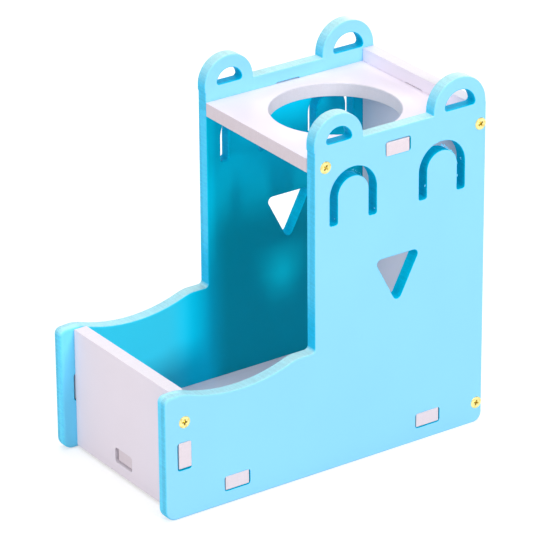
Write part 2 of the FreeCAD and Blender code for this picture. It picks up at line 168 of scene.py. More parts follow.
@dataclass(frozen=True)
class FoamedSheet:
    """Rigid foamed PVC sheet: calendered satin skins over a fine closed-cell core.

    The skins are smooth, with a faint orange peel. Every routed edge shows the core, whose cells
    of about 0.3 mm give it a speckle and a duller finish, crossed by the cutter's chatter. Shade and
    the light let through the sheet are painted in: painted shade on the inner skins, the walls of holes
    and the lower edges, deepest low in the bay behind the tray; painted light on the inner skins beside
    the tray, on the tray's ends and on edges that face up; a painted glow behind the front edges; and a
    painted highlight on the backs of the rear ears.
    """

    name: str
    skin: str
    lip_painted_light: str  # painted light on the inner faces in front of the front board
    tray_painted_light: str  # painted light on the inner faces beside the tray, where it is open
    bay_painted_shade: str  # painted shade on the inner faces behind it, high up
    deep_skin: str  # deeper painted shade there, low down
    core: str
    low_core: str  # painted shade on its lower edges behind the tray
    tray_core: str  # painted light on the edges at the ends of the tray
    core_up: str  # painted highlight on the edges that face up
    tray_up: str
    # painted shade in the walls of holes
    wall: str
    # deeper painted shade in the walls of the ear holes
    ear_wall: str
    swarf: str
    gloss: str = "FFFFFF"  # tint of the reflections
    # painted highlight on the backs of the rear ears
    dust: str = "F4FFFC"
    skin_roughness: float = 0.42
    core_roughness: float = 0.6
    cell_mm: float = 0.45  # real cells are 0.3 mm, drawn coarser so that they show
    peel_mm: float = 1.6
    cell_relief: float = 0.3
    tone_spread: float = 0.06
    chatter_mm: float = 0.9  # real marks are 0.4 mm apart
    chatter_spread: float = 0.05
    inner_top: float = 117.0  # height up to which the inner skins carry painted light and shade
    lip_end: tuple[float, float] = (-62.0, -59.0)
    bay_start: tuple[float, float] = (-24.0, -11.0)  # along Y, where the tray's light fades
    deep_start: tuple[float, float] = (-8.0, 4.0)
    deep_below: tuple[float, float] = (100.0, 62.0)  # height below which the bay's painted shade gets deeper
    low_below: tuple[float, float] = (72.0, 56.0)  # and that of the edges' painted shade
    brow_end: tuple[float, float] = (-0.5, -3.5)  # painted glow behind the front edges, standing for light let through there
    brow_above: tuple[float, float] = (48.0, 72.0)
    lip_glow: float = 0.16
    brow_glow: float = 0.12
    ears_above: tuple[float, float] = (124.0, 127.0)
    rear_ears: tuple[float, float] = (40.0, 62.0)
    ear_highlight_share: tuple[float, float] = (0.35, 0.8)  # share of the painted highlight on the right and the left board
    shine: float = 0.15

    def skins(self, lie: Lie, outward: int = 1) -> bpy.types.Material:
        """Makes the material of a board's faces and outer edges.

        Args:
            lie: How the board lies, which tells its skins from its routed edges.
            outward: Sign of the thickness axis that points out of the stand.

        Returns:
            The material.
        """
        material, tree = new_material(f"{self.name}_{lie.name.lower()}_{'high' if outward > 0 else 'low'}")
        place = add(tree, "ShaderNodeTexCoord")
        normal = add(tree, "ShaderNodeSeparateXYZ", Vector=place.outputs["Normal"])
        spot = add(tree, "ShaderNodeSeparateXYZ", Vector=place.outputs["Object"])
        facing = normal.outputs[lie.value[2]]
        flat = add(tree, "ShaderNodeMath", {"operation": "ABSOLUTE"}, i0=facing)
        is_skin = add(tree, "ShaderNodeMapRange", {"interpolation_type": "SMOOTHSTEP"},
                      Value=flat.outputs[0], From_Min=0.5, From_Max=0.97)
        inward = add(tree, "ShaderNodeMath", {"operation": "MULTIPLY"}, i0=facing, i1=-outward)
        turned = add(tree, "ShaderNodeMath", {"operation": "GREATER_THAN"}, i0=inward.outputs[0], i1=0.0)
        low = add(tree, "ShaderNodeMath", {"operation": "LESS_THAN"}, i0=spot.outputs[2], i1=self.inner_top * MM)
        inner = add(tree, "ShaderNodeMath", {"operation": "MULTIPLY"}, i0=turned.outputs[0], i1=low.outputs[0])
        # Painted light and shade on the inner faces: painted light beside the tray and in front of the front board,
        # painted shade that deepens into the bay and low down.
        in_bay = self.fade(tree, spot.outputs[1], self.bay_start)
        deep = self.fade(tree, spot.outputs[2], self.deep_below)
        up = add(tree, "ShaderNodeMapRange", Value=normal.outputs[2], From_Min=-0.05, From_Max=1.08)
        low_edge = self.fade(tree, spot.outputs[2], self.low_below)
        buried = add(tree, "ShaderNodeMath", {"operation": "MULTIPLY"}, i0=deep,
                     i1=self.fade(tree, spot.outputs[1], self.deep_start))
        bay = self.mix(tree, buried.outputs[0], linear(self.bay_painted_shade), linear(self.deep_skin))
        behind_lip = self.fade(tree, spot.outputs[1], self.lip_end)
        open_skin = self.mix(tree, behind_lip, linear(self.lip_painted_light), linear(self.tray_painted_light))
        # Painted glow on the inner faces, in front of the front board and behind the front edges.
        at_brow = add(tree, "ShaderNodeMath", {"operation": "MULTIPLY"},
                      i0=self.fade(tree, spot.outputs[1], self.brow_end),
                      i1=self.fade(tree, spot.outputs[2], self.brow_above))
        behind = add(tree, "ShaderNodeMath", {"operation": "MULTIPLY"}, i0=at_brow.outputs[0], i1=self.brow_glow)
        painted_glow_level = add(tree, "ShaderNodeMix", {"data_type": "FLOAT"}, Factor=behind_lip, i2=self.lip_glow,
                          i3=behind.outputs[0])
        glow = add(tree, "ShaderNodeMath", {"operation": "MULTIPLY"}, i0=inner.outputs[0],
                   i1=painted_glow_level.outputs[0])
        inner_painted_light_and_shade = self.mix(tree, in_bay, open_skin, bay)
        skin_colour = self.mix(tree, inner.outputs[0], linear(self.skin), inner_painted_light_and_shade)
        # Painted shade on the lower core edges behind the tray.
        head_core = self.mix(tree, low_edge, linear(self.core), linear(self.low_core))
        # Painted light on the core edges by the tray, which is open to the light.
        core = self.mix(tree, in_bay, linear(self.tray_core), head_core)
        # Painted highlight on the edges that face up.
        top = self.mix(tree, in_bay, linear(self.tray_up), linear(self.core_up))
        edge_under_highlight = self.mix(tree, up.outputs[0], core, top)
        # Painted highlight on the backs of the rear ears, for light from behind.
        backs = add(tree, "ShaderNodeMapRange", {"interpolation_type": "SMOOTHSTEP"}, Value=normal.outputs[1],
                    From_Min=-0.25, From_Max=0.35, To_Max=self.ear_highlight_share[0 if outward > 0 else 1])
        rear = add(tree, "ShaderNodeMath", {"operation": "MULTIPLY"}, i0=backs.outputs[0],
                   i1=self.fade(tree, spot.outputs[1], self.rear_ears))
        back_highlight_mask = add(tree, "ShaderNodeMath", {"operation": "MULTIPLY"}, i0=rear.outputs[0],
                    i1=self.fade(tree, spot.outputs[2], self.ears_above))
        edge_colour = self.mix(tree, back_highlight_mask.outputs[0], edge_under_highlight, linear(self.dust))
        self.finish(tree, is_skin.outputs[0], skin_colour, edge_colour, self.shine, lie, glow.outputs[0])
        return material

    def walls(self, lie: Lie) -> bpy.types.Material:
        """Makes the material of the walls of holes and slots.

        Args:
            lie: How the board lies, which gives the way of the cutter's marks.

        Returns:
            The material.
        """
        material, tree = new_material(f"{self.name}_{lie.name.lower()}_hole_wall")
        spot = add(tree, "ShaderNodeSeparateXYZ", Vector=add(tree, "ShaderNodeTexCoord").outputs["Object"])
        # Painted shade in the walls of holes, deeper in the ear holes.
        wall = self.mix(tree, self.fade(tree, spot.outputs[2], self.ears_above), linear(self.wall),
                        linear(self.ear_wall))
        self.finish(tree, add(tree, "ShaderNodeValue").outputs[0], wall, wall, self.shine / 3, lie)
        return material

    def crumbs(self) -> bpy.types.Material:
        """Makes the material of the swarf that the cutter left.

        Returns:
            The material.
        """
        material, tree = new_material(f"{self.name}_swarf")
        none = add(tree, "ShaderNodeValue").outputs[0]
        pale = self.mix(tree, none, linear(self.swarf), linear(self.swarf))
        # Painted glow of 0.4 on the crumbs, standing for light let through thin foam.
        self.finish(tree, none, pale, pale, self.shine / 3, Lie.SIDEWAYS, 0.4)
        return material

    @staticmethod
    def fade(tree: bpy.types.NodeTree, value: bpy.types.NodeSocket,
             span: tuple[float, float]) -> bpy.types.NodeSocket:
        """Rises softly from 0 to 1 while a coordinate goes from one place to another, in millimetres."""
        return add(tree, "ShaderNodeMapRange", {"interpolation_type": "SMOOTHSTEP"}, Value=value,
                   From_Min=span[0] * MM, From_Max=span[1] * MM).outputs[0]

    @staticmethod
    def mix(tree: bpy.types.NodeTree, factor: bpy.types.NodeSocket, low: object,
            high: object) -> bpy.types.NodeSocket:
        """Mixes two colours, each a value or a socket, and returns the result's socket."""
        return add(tree, "ShaderNodeMix", {"data_type": "RGBA"}, Factor=factor, i6=low, i7=high).outputs[2]

    def finish(self, tree: bpy.types.NodeTree, is_skin: bpy.types.NodeSocket, skin_colour: bpy.types.NodeSocket,
               edge_colour: bpy.types.NodeSocket, shine: float, lie: Lie, glow: object = 0.0) -> None:
        """Adds the cells, the cutter's chatter, the orange peel and the shader.

        Args:
            tree: Node tree of the material.
            is_skin: 1 on the skins and 0 on the core.
            skin_colour: Colour of the skins.
            edge_colour: Colour of the core.
            shine: Strength of the reflections.
            lie: How the board lies. The chatter runs through its thickness.
            glow: Painted glow, standing for light let through the foam where it is thin, as a value or a socket.
        """
        place = add(tree, "ShaderNodeTexCoord").outputs["Object"]
        cells = add(tree, "ShaderNodeTexVoronoi", {"feature": "F1"}, Vector=place,
                    Scale=1 / (self.cell_mm * MM), Randomness=1.0)
        mottle = add(tree, "ShaderNodeTexNoise", Vector=place, Scale=1 / (4 * self.cell_mm * MM),
                     Detail=3.0, Roughness=0.6)
        peel = add(tree, "ShaderNodeTexNoise", Vector=place, Scale=1 / (self.peel_mm * MM), Detail=2.0)
        cloud = add(tree, "ShaderNodeTexNoise", Vector=place, Scale=1 / (30 * MM), Detail=2.0)
        speckle = add(tree, "ShaderNodeMath", {"operation": "MULTIPLY"},
                      i0=cells.outputs["Distance"], i1=mottle.outputs["Fac"])
        tone = add(tree, "ShaderNodeMapRange", Value=speckle.outputs[0], From_Min=0.08, From_Max=0.42,
                   To_Min=1 - self.tone_spread, To_Max=1 + self.tone_spread)
        shade = add(tree, "ShaderNodeMapRange", Value=cloud.outputs["Fac"],
                    From_Min=0.3, From_Max=0.7, To_Min=0.985, To_Max=1.01)
        stretch = [0.08 if axis == lie.value[2] else 1.0 for axis in range(3)]
        drawn_out = add(tree, "ShaderNodeVectorMath", {"operation": "MULTIPLY"}, i0=place, i1=stretch)
        chatter = add(tree, "ShaderNodeTexNoise", Vector=drawn_out.outputs[0], Scale=1 / (self.chatter_mm * MM),
                      Detail=1.0)
        marks = add(tree, "ShaderNodeMapRange", Value=chatter.outputs["Fac"], From_Min=0.3, From_Max=0.7,
                    To_Min=1 - self.chatter_spread, To_Max=1 + self.chatter_spread)
        both = add(tree, "ShaderNodeMath", {"operation": "MULTIPLY"}, i0=tone.outputs[0], i1=marks.outputs[0])
        speckled = add(tree, "ShaderNodeVectorMath", {"operation": "SCALE"}, i0=edge_colour, Scale=both.outputs[0])
        clouded = add(tree, "ShaderNodeVectorMath", {"operation": "SCALE"}, i0=skin_colour, Scale=shade.outputs[0])
        colour = self.mix(tree, is_skin, speckled.outputs[0], clouded.outputs[0])
        gloss = add(tree, "ShaderNodeMapRange", Value=is_skin,
                    To_Min=self.core_roughness, To_Max=self.skin_roughness)
        ridges = add(tree, "ShaderNodeMath", {"operation": "ADD"}, i0=cells.outputs["Distance"],
                     i1=chatter.outputs["Fac"])
        height = add(tree, "ShaderNodeMix", {"data_type": "FLOAT"}, Factor=is_skin,
                     i2=ridges.outputs[0], i3=peel.outputs["Fac"])
        relief = add(tree, "ShaderNodeMapRange", Value=is_skin, To_Min=self.cell_relief, To_Max=0.05)
        bump = add(tree, "ShaderNodeBump", Strength=relief.outputs[0], Distance=0.12 * MM,
                   Height=height.outputs[0])
        shader = add(tree, "ShaderNodeBsdfPrincipled", Base_Color=colour, Roughness=gloss.outputs[0],
                     Normal=bump.outputs[0], IOR=1.5, Specular_IOR_Level=shine,
                     Specular_Tint=linear(self.gloss), Emission_Color=colour, Emission_Strength=glow)
        add(tree, "ShaderNodeOutputMaterial", Surface=shader.outputs[0])


@dataclass(frozen=True)
class BrassPlating:
    """Bright brass plating on small steel screws, a little stained and scratched in the barrel."""

    name: str = "brass_plating"
    colour: str = "F6E99E"
    stain: str = "DCC066"
    roughness: float = 0.3
    stain_mm: float = 1.1
    scratch_mm: float = 0.25

    def build(self) -> bpy.types.Material:
        """Makes the material.

        Returns:
            The material.
        """
        material, tree = new_material(self.name)
        place = add(tree, "ShaderNodeTexCoord").outputs["Object"]
        stains = add(tree, "ShaderNodeTexNoise", Vector=place, Scale=1 / (self.stain_mm * MM), Detail=4.0)
        stained = add(tree, "ShaderNodeMapRange", Value=stains.outputs["Fac"], From_Min=0.45, From_Max=0.75)
        colour = add(tree, "ShaderNodeMix", {"data_type": "RGBA"}, Factor=stained.outputs[0],
                     i6=linear(self.colour), i7=linear(self.stain))
        scratches = add(tree, "ShaderNodeTexNoise", Vector=place, Scale=1 / (self.scratch_mm * MM), Detail=2.0)
        bump = add(tree, "ShaderNodeBump", Strength=0.2, Distance=0.03 * MM, Height=scratches.outputs["Fac"])
        shader = add(tree, "ShaderNodeBsdfPrincipled", Base_Color=colour.outputs[2], Metallic=1.0,
                     Roughness=self.roughness, Normal=bump.outputs[0])
        add(tree, "ShaderNodeOutputMaterial", Surface=shader.outputs[0])
        return material


@dataclass(frozen=True)
class Corner:
    """A corner of an outline, in millimetres, with the radius that rounds it.

    ease is how far the faces are rounded towards the edge there, where it differs from the
    rest of the outline.
    """

    across: float
    up: float
    radius: float = 0.35
    ease: float | None = None


@dataclass(frozen=True)
class Rim:
    """One point round an outline, with its normal pointing out of the material."""

    point: Vector
    normal: Vector
    ease: float


@dataclass(frozen=True)
class Outline:
    """A closed outline of rounded corners, around the board or around a hole in it."""

    corners: tuple[Corner, ...]
    hole: bool = False
    ease: float = 0.15  # rounding between the faces and this edge
    far_ease: float | None = None  # rounding at the second face, where it differs
    cone: float = 0.0  # depth of a countersink

    ARC_STEP = math.radians(4)
    CORNER_STEP = math.radians(18)
    EASE_STEPS = 4

    def rims(self) -> list[Rim]:
        """Walks the outline with the material on its left.

        Returns:
            The points round it, with arcs in steps of a few degrees.
        """
        spots = [Vector((c.across, c.up)) for c in self.corners]
        area = sum(a.x * b.y - b.x * a.y for a, b in zip(spots, spots[1:] + spots[:1]))
        order = list(self.corners)
        if (area > 0) == self.hole:
            order.reverse()
        rims: list[Rim] = []
        for i, corner in enumerate(order):
            here = Vector((corner.across, corner.up))
            before = Vector((order[i - 1].across, order[i - 1].up))
            after_corner = order[(i + 1) % len(order)]
            after = Vector((after_corner.across, after_corner.up))
            come, go = (here - before).normalized(), (after - here).normalized()
            turn = math.atan2(come.x * go.y - come.y * go.x, come.dot(go))
            start = here - come * corner.radius * math.tan(abs(turn) / 2)
            right = Vector((come.y, -come.x))
            side = 1 if turn > 0 else -1
            centre = start - right * corner.radius * side
            step = self.ARC_STEP if corner.radius > 2 else self.CORNER_STEP
            count = max(3, math.ceil(abs(turn) / step))
            ease = self.ease if corner.ease is None else corner.ease
            for k in range(count + 1):
                normal = Matrix.Rotation(turn * k / count, 2) @ right
                rims.append(Rim(centre + normal * corner.radius * side, normal, ease))
        return [rim for i, rim in enumerate(rims) if (rim.point - rims[i - 1].point).length > 1e-5]

    def profile(self, thickness: float, ease: float) -> list[tuple[float, float, float]]:
        """The wall from the first face to the second.

        Args:
            thickness: Thickness of the board.
            ease: Rounding between the faces and the wall.

        Returns:
            For each ring its depth, how far it is drawn into the material and the angle of its
            normal from the first face's.
        """
        if self.cone:
            slope, lip = math.pi / 4, 0.05
            return [(0.0, lip, 0.0), (lip, -lip, slope), (self.cone, -self.cone, slope),
                    (self.cone + lip, -self.cone, math.pi / 2), (thickness, -self.cone, math.pi / 2),
                    (thickness, -self.cone, math.pi)]
        rings = []
        for k in range(2 * self.EASE_STEPS + 2):
            far = k > self.EASE_STEPS
            angle = math.pi / 2 * (k - far) / self.EASE_STEPS
            round_off = self.far_ease if far and self.far_ease is not None else ease
            inset = round_off * (1 - math.sin(angle))
            depth = round_off * (1 - abs(math.cos(angle)))
            rings.append((thickness - depth if far else depth, inset, angle))
        return rings


@dataclass
class Board:
    """A board of even thickness with eased edges, cut from its outlines."""

    node: str
    lie: Lie
    outlines: list[Outline]
    start: float  # where the first face lies on the thickness axis
    thickness: float
    slot: Slot
    way: int = 1  # sign of the thickness axis along which the board goes from its first face

    def at(self, across: float, up: float, depth: float) -> Vector:
        """Puts a place of the board into the row frame, in metres."""
        spot = Vector((0, 0, 0))
        for axis, value in zip(self.lie.value, (across, up, self.start + self.way * depth)):
            spot[axis] = value * MM
        return spot

    def aim(self, across: float, up: float, depth: float) -> Vector:
        """Turns a direction of the board into the row frame."""
        course = Vector((0, 0, 0))
        for axis, value in zip(self.lie.value, (across, up, self.way * depth)):
            course[axis] = value
        return course.normalized()

    def build(self, skins: bpy.types.Material, walls: bpy.types.Material) -> bpy.types.Object:
        """Makes the board, which stands for its CAD node.

        Args:
            skins: Finish of its faces and outer edges.
            walls: Finish of its holes.

        Returns:
            The finished piece.
        """
        bm = bmesh.new()
        normals: list[Vector] = []
        first_edges, last_edges = [], []
        for outline in self.outlines:
            rims = outline.rims()
            rows = []
            for rings in zip(*(outline.profile(self.thickness, rim.ease) for rim in rims)):
                row = []
                for rim, (depth, inset, angle) in zip(rims, rings):
                    spot = rim.point - rim.normal * inset
                    row.append(bm.verts.new(self.at(spot.x, spot.y, depth)))
                    wall = rim.normal * math.sin(angle)
                    normals.append(self.aim(wall.x, wall.y, -math.cos(angle)))
                rows.append(row)
            size = len(rims)
            for low, high in zip(rows, rows[1:]):
                for k in range(size):
                    band = bm.faces.new((low[k], low[(k + 1) % size], high[(k + 1) % size], high[k]))
                    band.material_index = int(outline.hole)
            first_edges += [bm.edges.get((rows[0][k], rows[0][(k + 1) % size])) for k in range(size)]
            last_edges += [bm.edges.get((rows[-1][k], rows[-1][(k + 1) % size])) for k in range(size)]
        for edges, depth in ((first_edges, -1), (last_edges, 1)):
            bmesh.ops.triangle_fill(bm, use_beauty=True, edges=edges, normal=self.aim(0, 0, depth))
        bmesh.ops.recalc_face_normals(bm, faces=bm.faces)
        mesh = bpy.data.meshes.new(self.node)
        bm.to_mesh(mesh)
        bm.free()
        mesh.shade_smooth()
        mesh.normals_split_custom_set_from_vertices(normals)
        mesh.materials.append(skins)
        mesh.materials.append(walls)
        piece = link_object(f"{self.node}_dressed", mesh)
        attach(piece, BODY)
        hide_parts(self.node)
        log.info("%s: %d faces", piece.name, len(mesh.polygons))
        return piece


def node_box(node: str) -> tuple[Vector, Vector]:
    """Lowest and highest corner of a CAD node in millimetres."""
    low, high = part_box(node)
    return low / MM, high / MM


def middle(node: str, axis: int) -> float:
    """Middle of a CAD node along an axis in millimetres."""
    low, high = node_box(node)
    return (low[axis] + high[axis]) / 2


def box_corners(across: float, up: float, width: float, height: float, radius: float) -> tuple[Corner, ...]:
    """Corners of a rectangle about a centre, all of one radius."""
    half, rise = width / 2, height / 2
    return tuple(Corner(across + a * half, up + b * rise, radius) for a, b in ((-1, -1), (1, -1), (1, 1), (-1, 1)))


@dataclass
class Stand:
    """The sizes that the boards share, read from the frame or named here in millimetres."""

    board: float = 5.0
    sheet: float = 5.25  # the sheet runs a little over its nominal thickness
    tab_length: float = 10.0
    clearance: float = 0.4
    cutter_radius: float = 1.0
    end_tab_recess: float = 1.2
    face_from_back: float = 38.4
    floor_tab_from_front: float = 29.9
    floor_tab_from_back: float = 24.4
    panel_tab_height: float = 24.5
    front: float = field(init=False)
    back: float = field(init=False)
    half_width: float = field(init=False)
    head_front: float = field(init=False)
    head_top: float = field(init=False)
    rim: float = field(init=False)
    face: float = field(init=False)
    shelf: float = field(init=False)
    floor: float = field(init=False)
    panel: float = field(init=False)

    def __post_init__(self) -> None:
        """Reads the main places from the CAD nodes."""
        low, high = node_box("right_side_board")
        self.front, self.back, self.half_width = low.y, high.y, high.x
        self.head_front = node_box("bottle_shelf")[0].y
        self.head_top = node_box("back_board")[1].z
        self.rim = node_box("front_board")[1].z + SideBoard.front_drop
        self.face = self.back - self.face_from_back
        self.shelf, self.floor = middle("bottle_shelf", 2), middle("tray_floor", 2)
        self.panel = middle("front_board", 1)

    @property
    def floor_tabs(self) -> list[float]:
        """Places of the floor's tabs from front to back."""
        return [self.front + self.floor_tab_from_front, self.back - self.floor_tab_from_back]


@dataclass
class SideBoard:
    """A blue side board, cut as a bear's head over the tray wall."""

    stand: Stand
    side: Side
    front_ear: float = 10.3
    rear_ear: float = 11.5
    ear_rise: float = 0.7
    ear_wall: float = 4.9
    ear_step: float = 0.3  # how far the cut of the front ear stands out from the head's edge
    front_foot: float = 4.4
    rear_foot: float = 3.5
    rim_corner: float = 2.5
    throat: float = 1.4
    scoop_drop: float = 4.6
    scoop_front_land: float = 8.25
    scoop_rear_land: float = 8.25
    scoop_blend: float = 12.0
    eye_spacing: float = 38.5
    eye_radius: float = 8.35
    eye_slot: float = 3.5
    eye_drop: float = 20.3
    eye_legs: tuple[float, float] = (9.1, 10.3)  # of the left and right board
    eye_foot: float = 0.875
    nose_drop: float = 48.9
    nose_width: float = 20.0
    nose_height: float = 19.2
    nose_corner: float = 1.8
    countersink: float = 4.2  # the foam closes round the heads
    ease: float = 0.55
    back_ease: float = 0.25
    right_eye_ease: float = 0.15
    left_eye_ease: float = 0.55
    ear_eases: tuple[float, float] = (1.1, 0.3)  # of the ear holes, on each board's left and right
    front_eases: tuple[float, float] = (1.4, 0.9)  # the left and right tray ends are sanded rounder
    front_drop: float = 0.7

    def outer(self) -> Outline:
        """The outline of the head, its ears and the tray wall with its dip."""
        s = self.stand
        ear_z = s.head_top + self.ear_rise
        scoop_front = s.front + self.scoop_front_land
        scoop_back = s.head_front - self.scoop_rear_land
        centre, half = (scoop_front + scoop_back) / 2, (scoop_back - scoop_front) / 2
        radius = (half ** 2 + self.scoop_drop ** 2) / (2 * self.scoop_drop)
        rise = radius - self.scoop_drop + self.scoop_blend
        swing = math.acos(rise / (radius + self.scoop_blend))
        reach = (radius + self.scoop_blend) * math.sin(swing) - self.scoop_blend * math.tan(swing / 2)
        rear, fore = s.back - 2 * self.rear_ear, s.head_front + 2 * self.front_ear
        brow = s.head_front - self.ear_step
        front_ease = self.front_eases[self.side is Side.RIGHT]
        return Outline((
            Corner(s.front, 0, self.front_foot, front_ease),
            Corner(s.back, 0, self.rear_foot, self.back_ease),
            Corner(s.back, s.head_top, 400, self.back_ease),
            Corner(s.back, ear_z + self.rear_ear, self.rear_ear),
            Corner(rear, ear_z + self.rear_ear, self.rear_ear),
            Corner(rear, s.head_top, 0.3),
            Corner(fore, s.head_top, 0.3),
            Corner(fore, ear_z + self.front_ear, self.front_ear),
            Corner(brow, ear_z + self.front_ear, self.front_ear),
            Corner(brow, ear_z - 1.9, 0.15),
            Corner(s.head_front, ear_z - 2.5, 0.15),
            Corner(s.head_front, s.rim, self.throat),
            Corner(centre + reach, s.rim, self.scoop_blend),
            Corner(centre, s.rim - reach * math.tan(swing), radius),
            Corner(centre - reach, s.rim, self.scoop_blend, (front_ease + self.ease) / 2),
            Corner(s.front, s.rim, self.rim_corner, front_ease),
        ), ease=self.ease)

    def eye(self, centre: float) -> Outline:
        """An arched slot, as a closed and smiling eye."""
        z = self.stand.head_top - self.eye_drop
        big, small = self.eye_radius + self.eye_slot / 2, self.eye_radius - self.eye_slot / 2
        leg = self.eye_legs[self.side is Side.RIGHT]
        shape = ((big, -leg, self.eye_foot), (big, big, big), (-big, big, big), (-big, -leg, self.eye_foot),
                 (-small, -leg, self.eye_foot), (-small, small, small), (small, small, small),
                 (small, -leg, self.eye_foot))
        ease = self.left_eye_ease if self.side is Side.LEFT else self.right_eye_ease
        return Outline(tuple(Corner(centre + a, z + b, r) for a, b, r in shape), hole=True, ease=ease)

    def ear_hole(self, centre: float, ear: float) -> Outline:
        """A half-round hole in an ear, flat side down."""
        z = self.stand.head_top + self.ear_rise
        radius, foot = ear - self.ear_wall, self.stand.cutter_radius
        angle = math.asin(foot / (radius - foot))
        reach = radius / math.cos(angle)
        near, far = self.ear_eases[::-self.side.value]
        return Outline((Corner(centre - reach, z, foot), Corner(centre + reach, z, foot),
                        Corner(centre, z + radius / math.sin(angle), radius)), hole=True, ease=near, far_ease=far)

    def holes(self) -> list[Outline]:
        """Every cut through the board."""
        s = self.stand
        top = s.head_top - self.nose_drop
        nose = Outline((
            Corner(s.face, top - self.nose_height, self.nose_corner),
            Corner(s.face + self.nose_width / 2, top, self.nose_corner),
            Corner(s.face - self.nose_width / 2, top, self.nose_corner),
        ), hole=True)
        cuts = [self.eye(s.face - self.eye_spacing / 2), self.eye(s.face + self.eye_spacing / 2), nose,
                self.ear_hole(s.head_front + self.front_ear, self.front_ear),
                self.ear_hole(s.back - self.rear_ear, self.rear_ear)]
        long, short = s.tab_length + 2 * s.clearance, s.board + 2 * s.clearance
        slots = [(s.face, s.shelf - 0.115, long, s.board + 0.63), (s.panel, s.panel_tab_height - 0.25, short, long)]
        slots += [(across, s.floor - 0.2, long, short) for across in s.floor_tabs]
        for across, up, wide, high in slots:
            cuts.append(Outline(box_corners(across, up, wide, high, s.cutter_radius), hole=True, ease=0.1))
        for screw in Screw:
            corners = box_corners(*screw.place(self.side), self.countersink, self.countersink, self.countersink / 2)
            cuts.append(Outline(corners, hole=True, cone=1.0))
        return cuts

    def build(self, sheet: FoamedSheet) -> bpy.types.Object:
        """Makes the board.

        Args:
            sheet: Finish of the sheet.

        Returns:
            The piece.
        """
        sign = self.side.value
        board = Board(f"{self.side.name.lower()}_side_board", Lie.SIDEWAYS, [self.outer(), *self.holes()],
                      sign * self.stand.half_width, self.stand.board, Slot.BLUE, -sign)
        return board.build(sheet.skins(Lie.SIDEWAYS, sign), sheet.walls(Lie.SIDEWAYS))


@dataclass
class WhiteBoards:
    """The shelf, floor, front board and back board, tabbed into their neighbours."""

    stand: Stand
    hole_radius: float = 23.75
    hole_ease: float = 0.35
    ease: float = 0.2
    shelf_drop: float = 0.45  # the shelf hangs at the foot of its slots
    floor_drop: float = 0.15
    panel_shift: float = 0.2

    def tabbed(self, low: float, high: float, tabs: list[float], low_tab: bool = False,
               high_tab: bool = False) -> Outline:
        """The outline of a board with tabs.

        Args:
            low: Low edge between the side boards.
            high: High edge between the side boards.
            tabs: Centres of the tabs on both ends.
            low_tab: Whether the low edge has a tab in its middle.
            high_tab: Whether the high edge has a tab in its middle.

        Returns:
            The outline.
        """
        s = self.stand
        inner, outer, half = s.half_width - s.board, s.half_width, s.tab_length / 2
        reach = s.board - s.end_tab_recess
        right: list[tuple[float, float]] = []
        if low_tab:
            right += [(half, low - reach), (half, low)]
        right.append((inner, low))
        for centre in tabs:
            right += [(inner, centre - half), (outer, centre - half), (outer, centre + half), (inner, centre + half)]
        right.append((inner, high))
        if high_tab:
            right += [(half, high), (half, high + reach)]
        left = [(-a, u) for a, u in reversed(right)]
        return Outline(tuple(Corner(a, u) for a, u in right + left), ease=self.ease)

    def slots(self, heights: list[float], sag: float) -> list[Outline]:
        """Slots in an upright board for the tabs of level boards, a little lower than the tabs."""
        s = self.stand
        return [Outline(box_corners(0, z - sag, s.tab_length + 2 * s.clearance, s.board + 2 * s.clearance,
                                    s.cutter_radius), hole=True, ease=0.1) for z in heights]

    def build(self, sheet: FoamedSheet) -> list[bpy.types.Object]:
        """Makes the four boards.

        Args:
            sheet: Finish of the sheet.

        Returns:
            The pieces.
        """
        s = self.stand
        shelf, floor = node_box("bottle_shelf")[0], node_box("tray_floor")[0]
        front, back = node_box("front_board"), node_box("back_board")
        hole = Outline(box_corners(0, (s.head_front + back[0].y) / 2, 2 * self.hole_radius, 2 * self.hole_radius,
                                   self.hole_radius), hole=True, ease=self.hole_ease)
        shelf_outline = self.tabbed(s.head_front, back[0].y, [s.face], high_tab=True)
        floor_outline = self.tabbed(front[1].y, back[0].y, s.floor_tabs, True, True)
        front_outline = self.tabbed(front[0].z, front[1].z, [s.panel_tab_height])
        back_outline = self.tabbed(back[0].z, back[1].z, [])
        boards = (
            (Board("bottle_shelf", Lie.LEVEL, [shelf_outline, hole], shelf.z - self.shelf_drop, s.sheet,
                   Slot.WHITE), 1),
            (Board("tray_floor", Lie.LEVEL, [floor_outline], floor.z - self.floor_drop, s.sheet, Slot.WHITE), 1),
            (Board("front_board", Lie.UPRIGHT, [front_outline, *self.slots([s.floor], 0.1)],
                   front[0].y + self.panel_shift, s.sheet, Slot.WHITE), -1),
            (Board("back_board", Lie.UPRIGHT, [back_outline, *self.slots([s.shelf, s.floor], s.clearance)],
                   back[0].y, s.board, Slot.WHITE), 1),
        )
        walls = {lie: sheet.walls(lie) for lie in (Lie.LEVEL, Lie.UPRIGHT)}
        return [board.build(sheet.skins(board.lie, outward), walls[board.lie]) for board, outward in boards]


def new_geometry_tree(name: str, sizes: dict[str, float]) -> tuple[bpy.types.NodeTree, bpy.types.Node]:
    """Makes a geometry tree with one named input for each size.

    Args:
        name: Name of the tree.
        sizes: Names of its inputs, with values.

    Returns:
        The tree and its input node.
    """
    tree = bpy.data.node_groups.new(name, "GeometryNodeTree")
    tree.interface.new_socket("Geometry", in_out="INPUT", socket_type="NodeSocketGeometry")
    tree.interface.new_socket("Geometry", in_out="OUTPUT", socket_type="NodeSocketGeometry")
    for label in sizes:
        tree.interface.new_socket(label, in_out="INPUT", socket_type="NodeSocketFloat")
    return tree, add(tree, "NodeGroupInput")


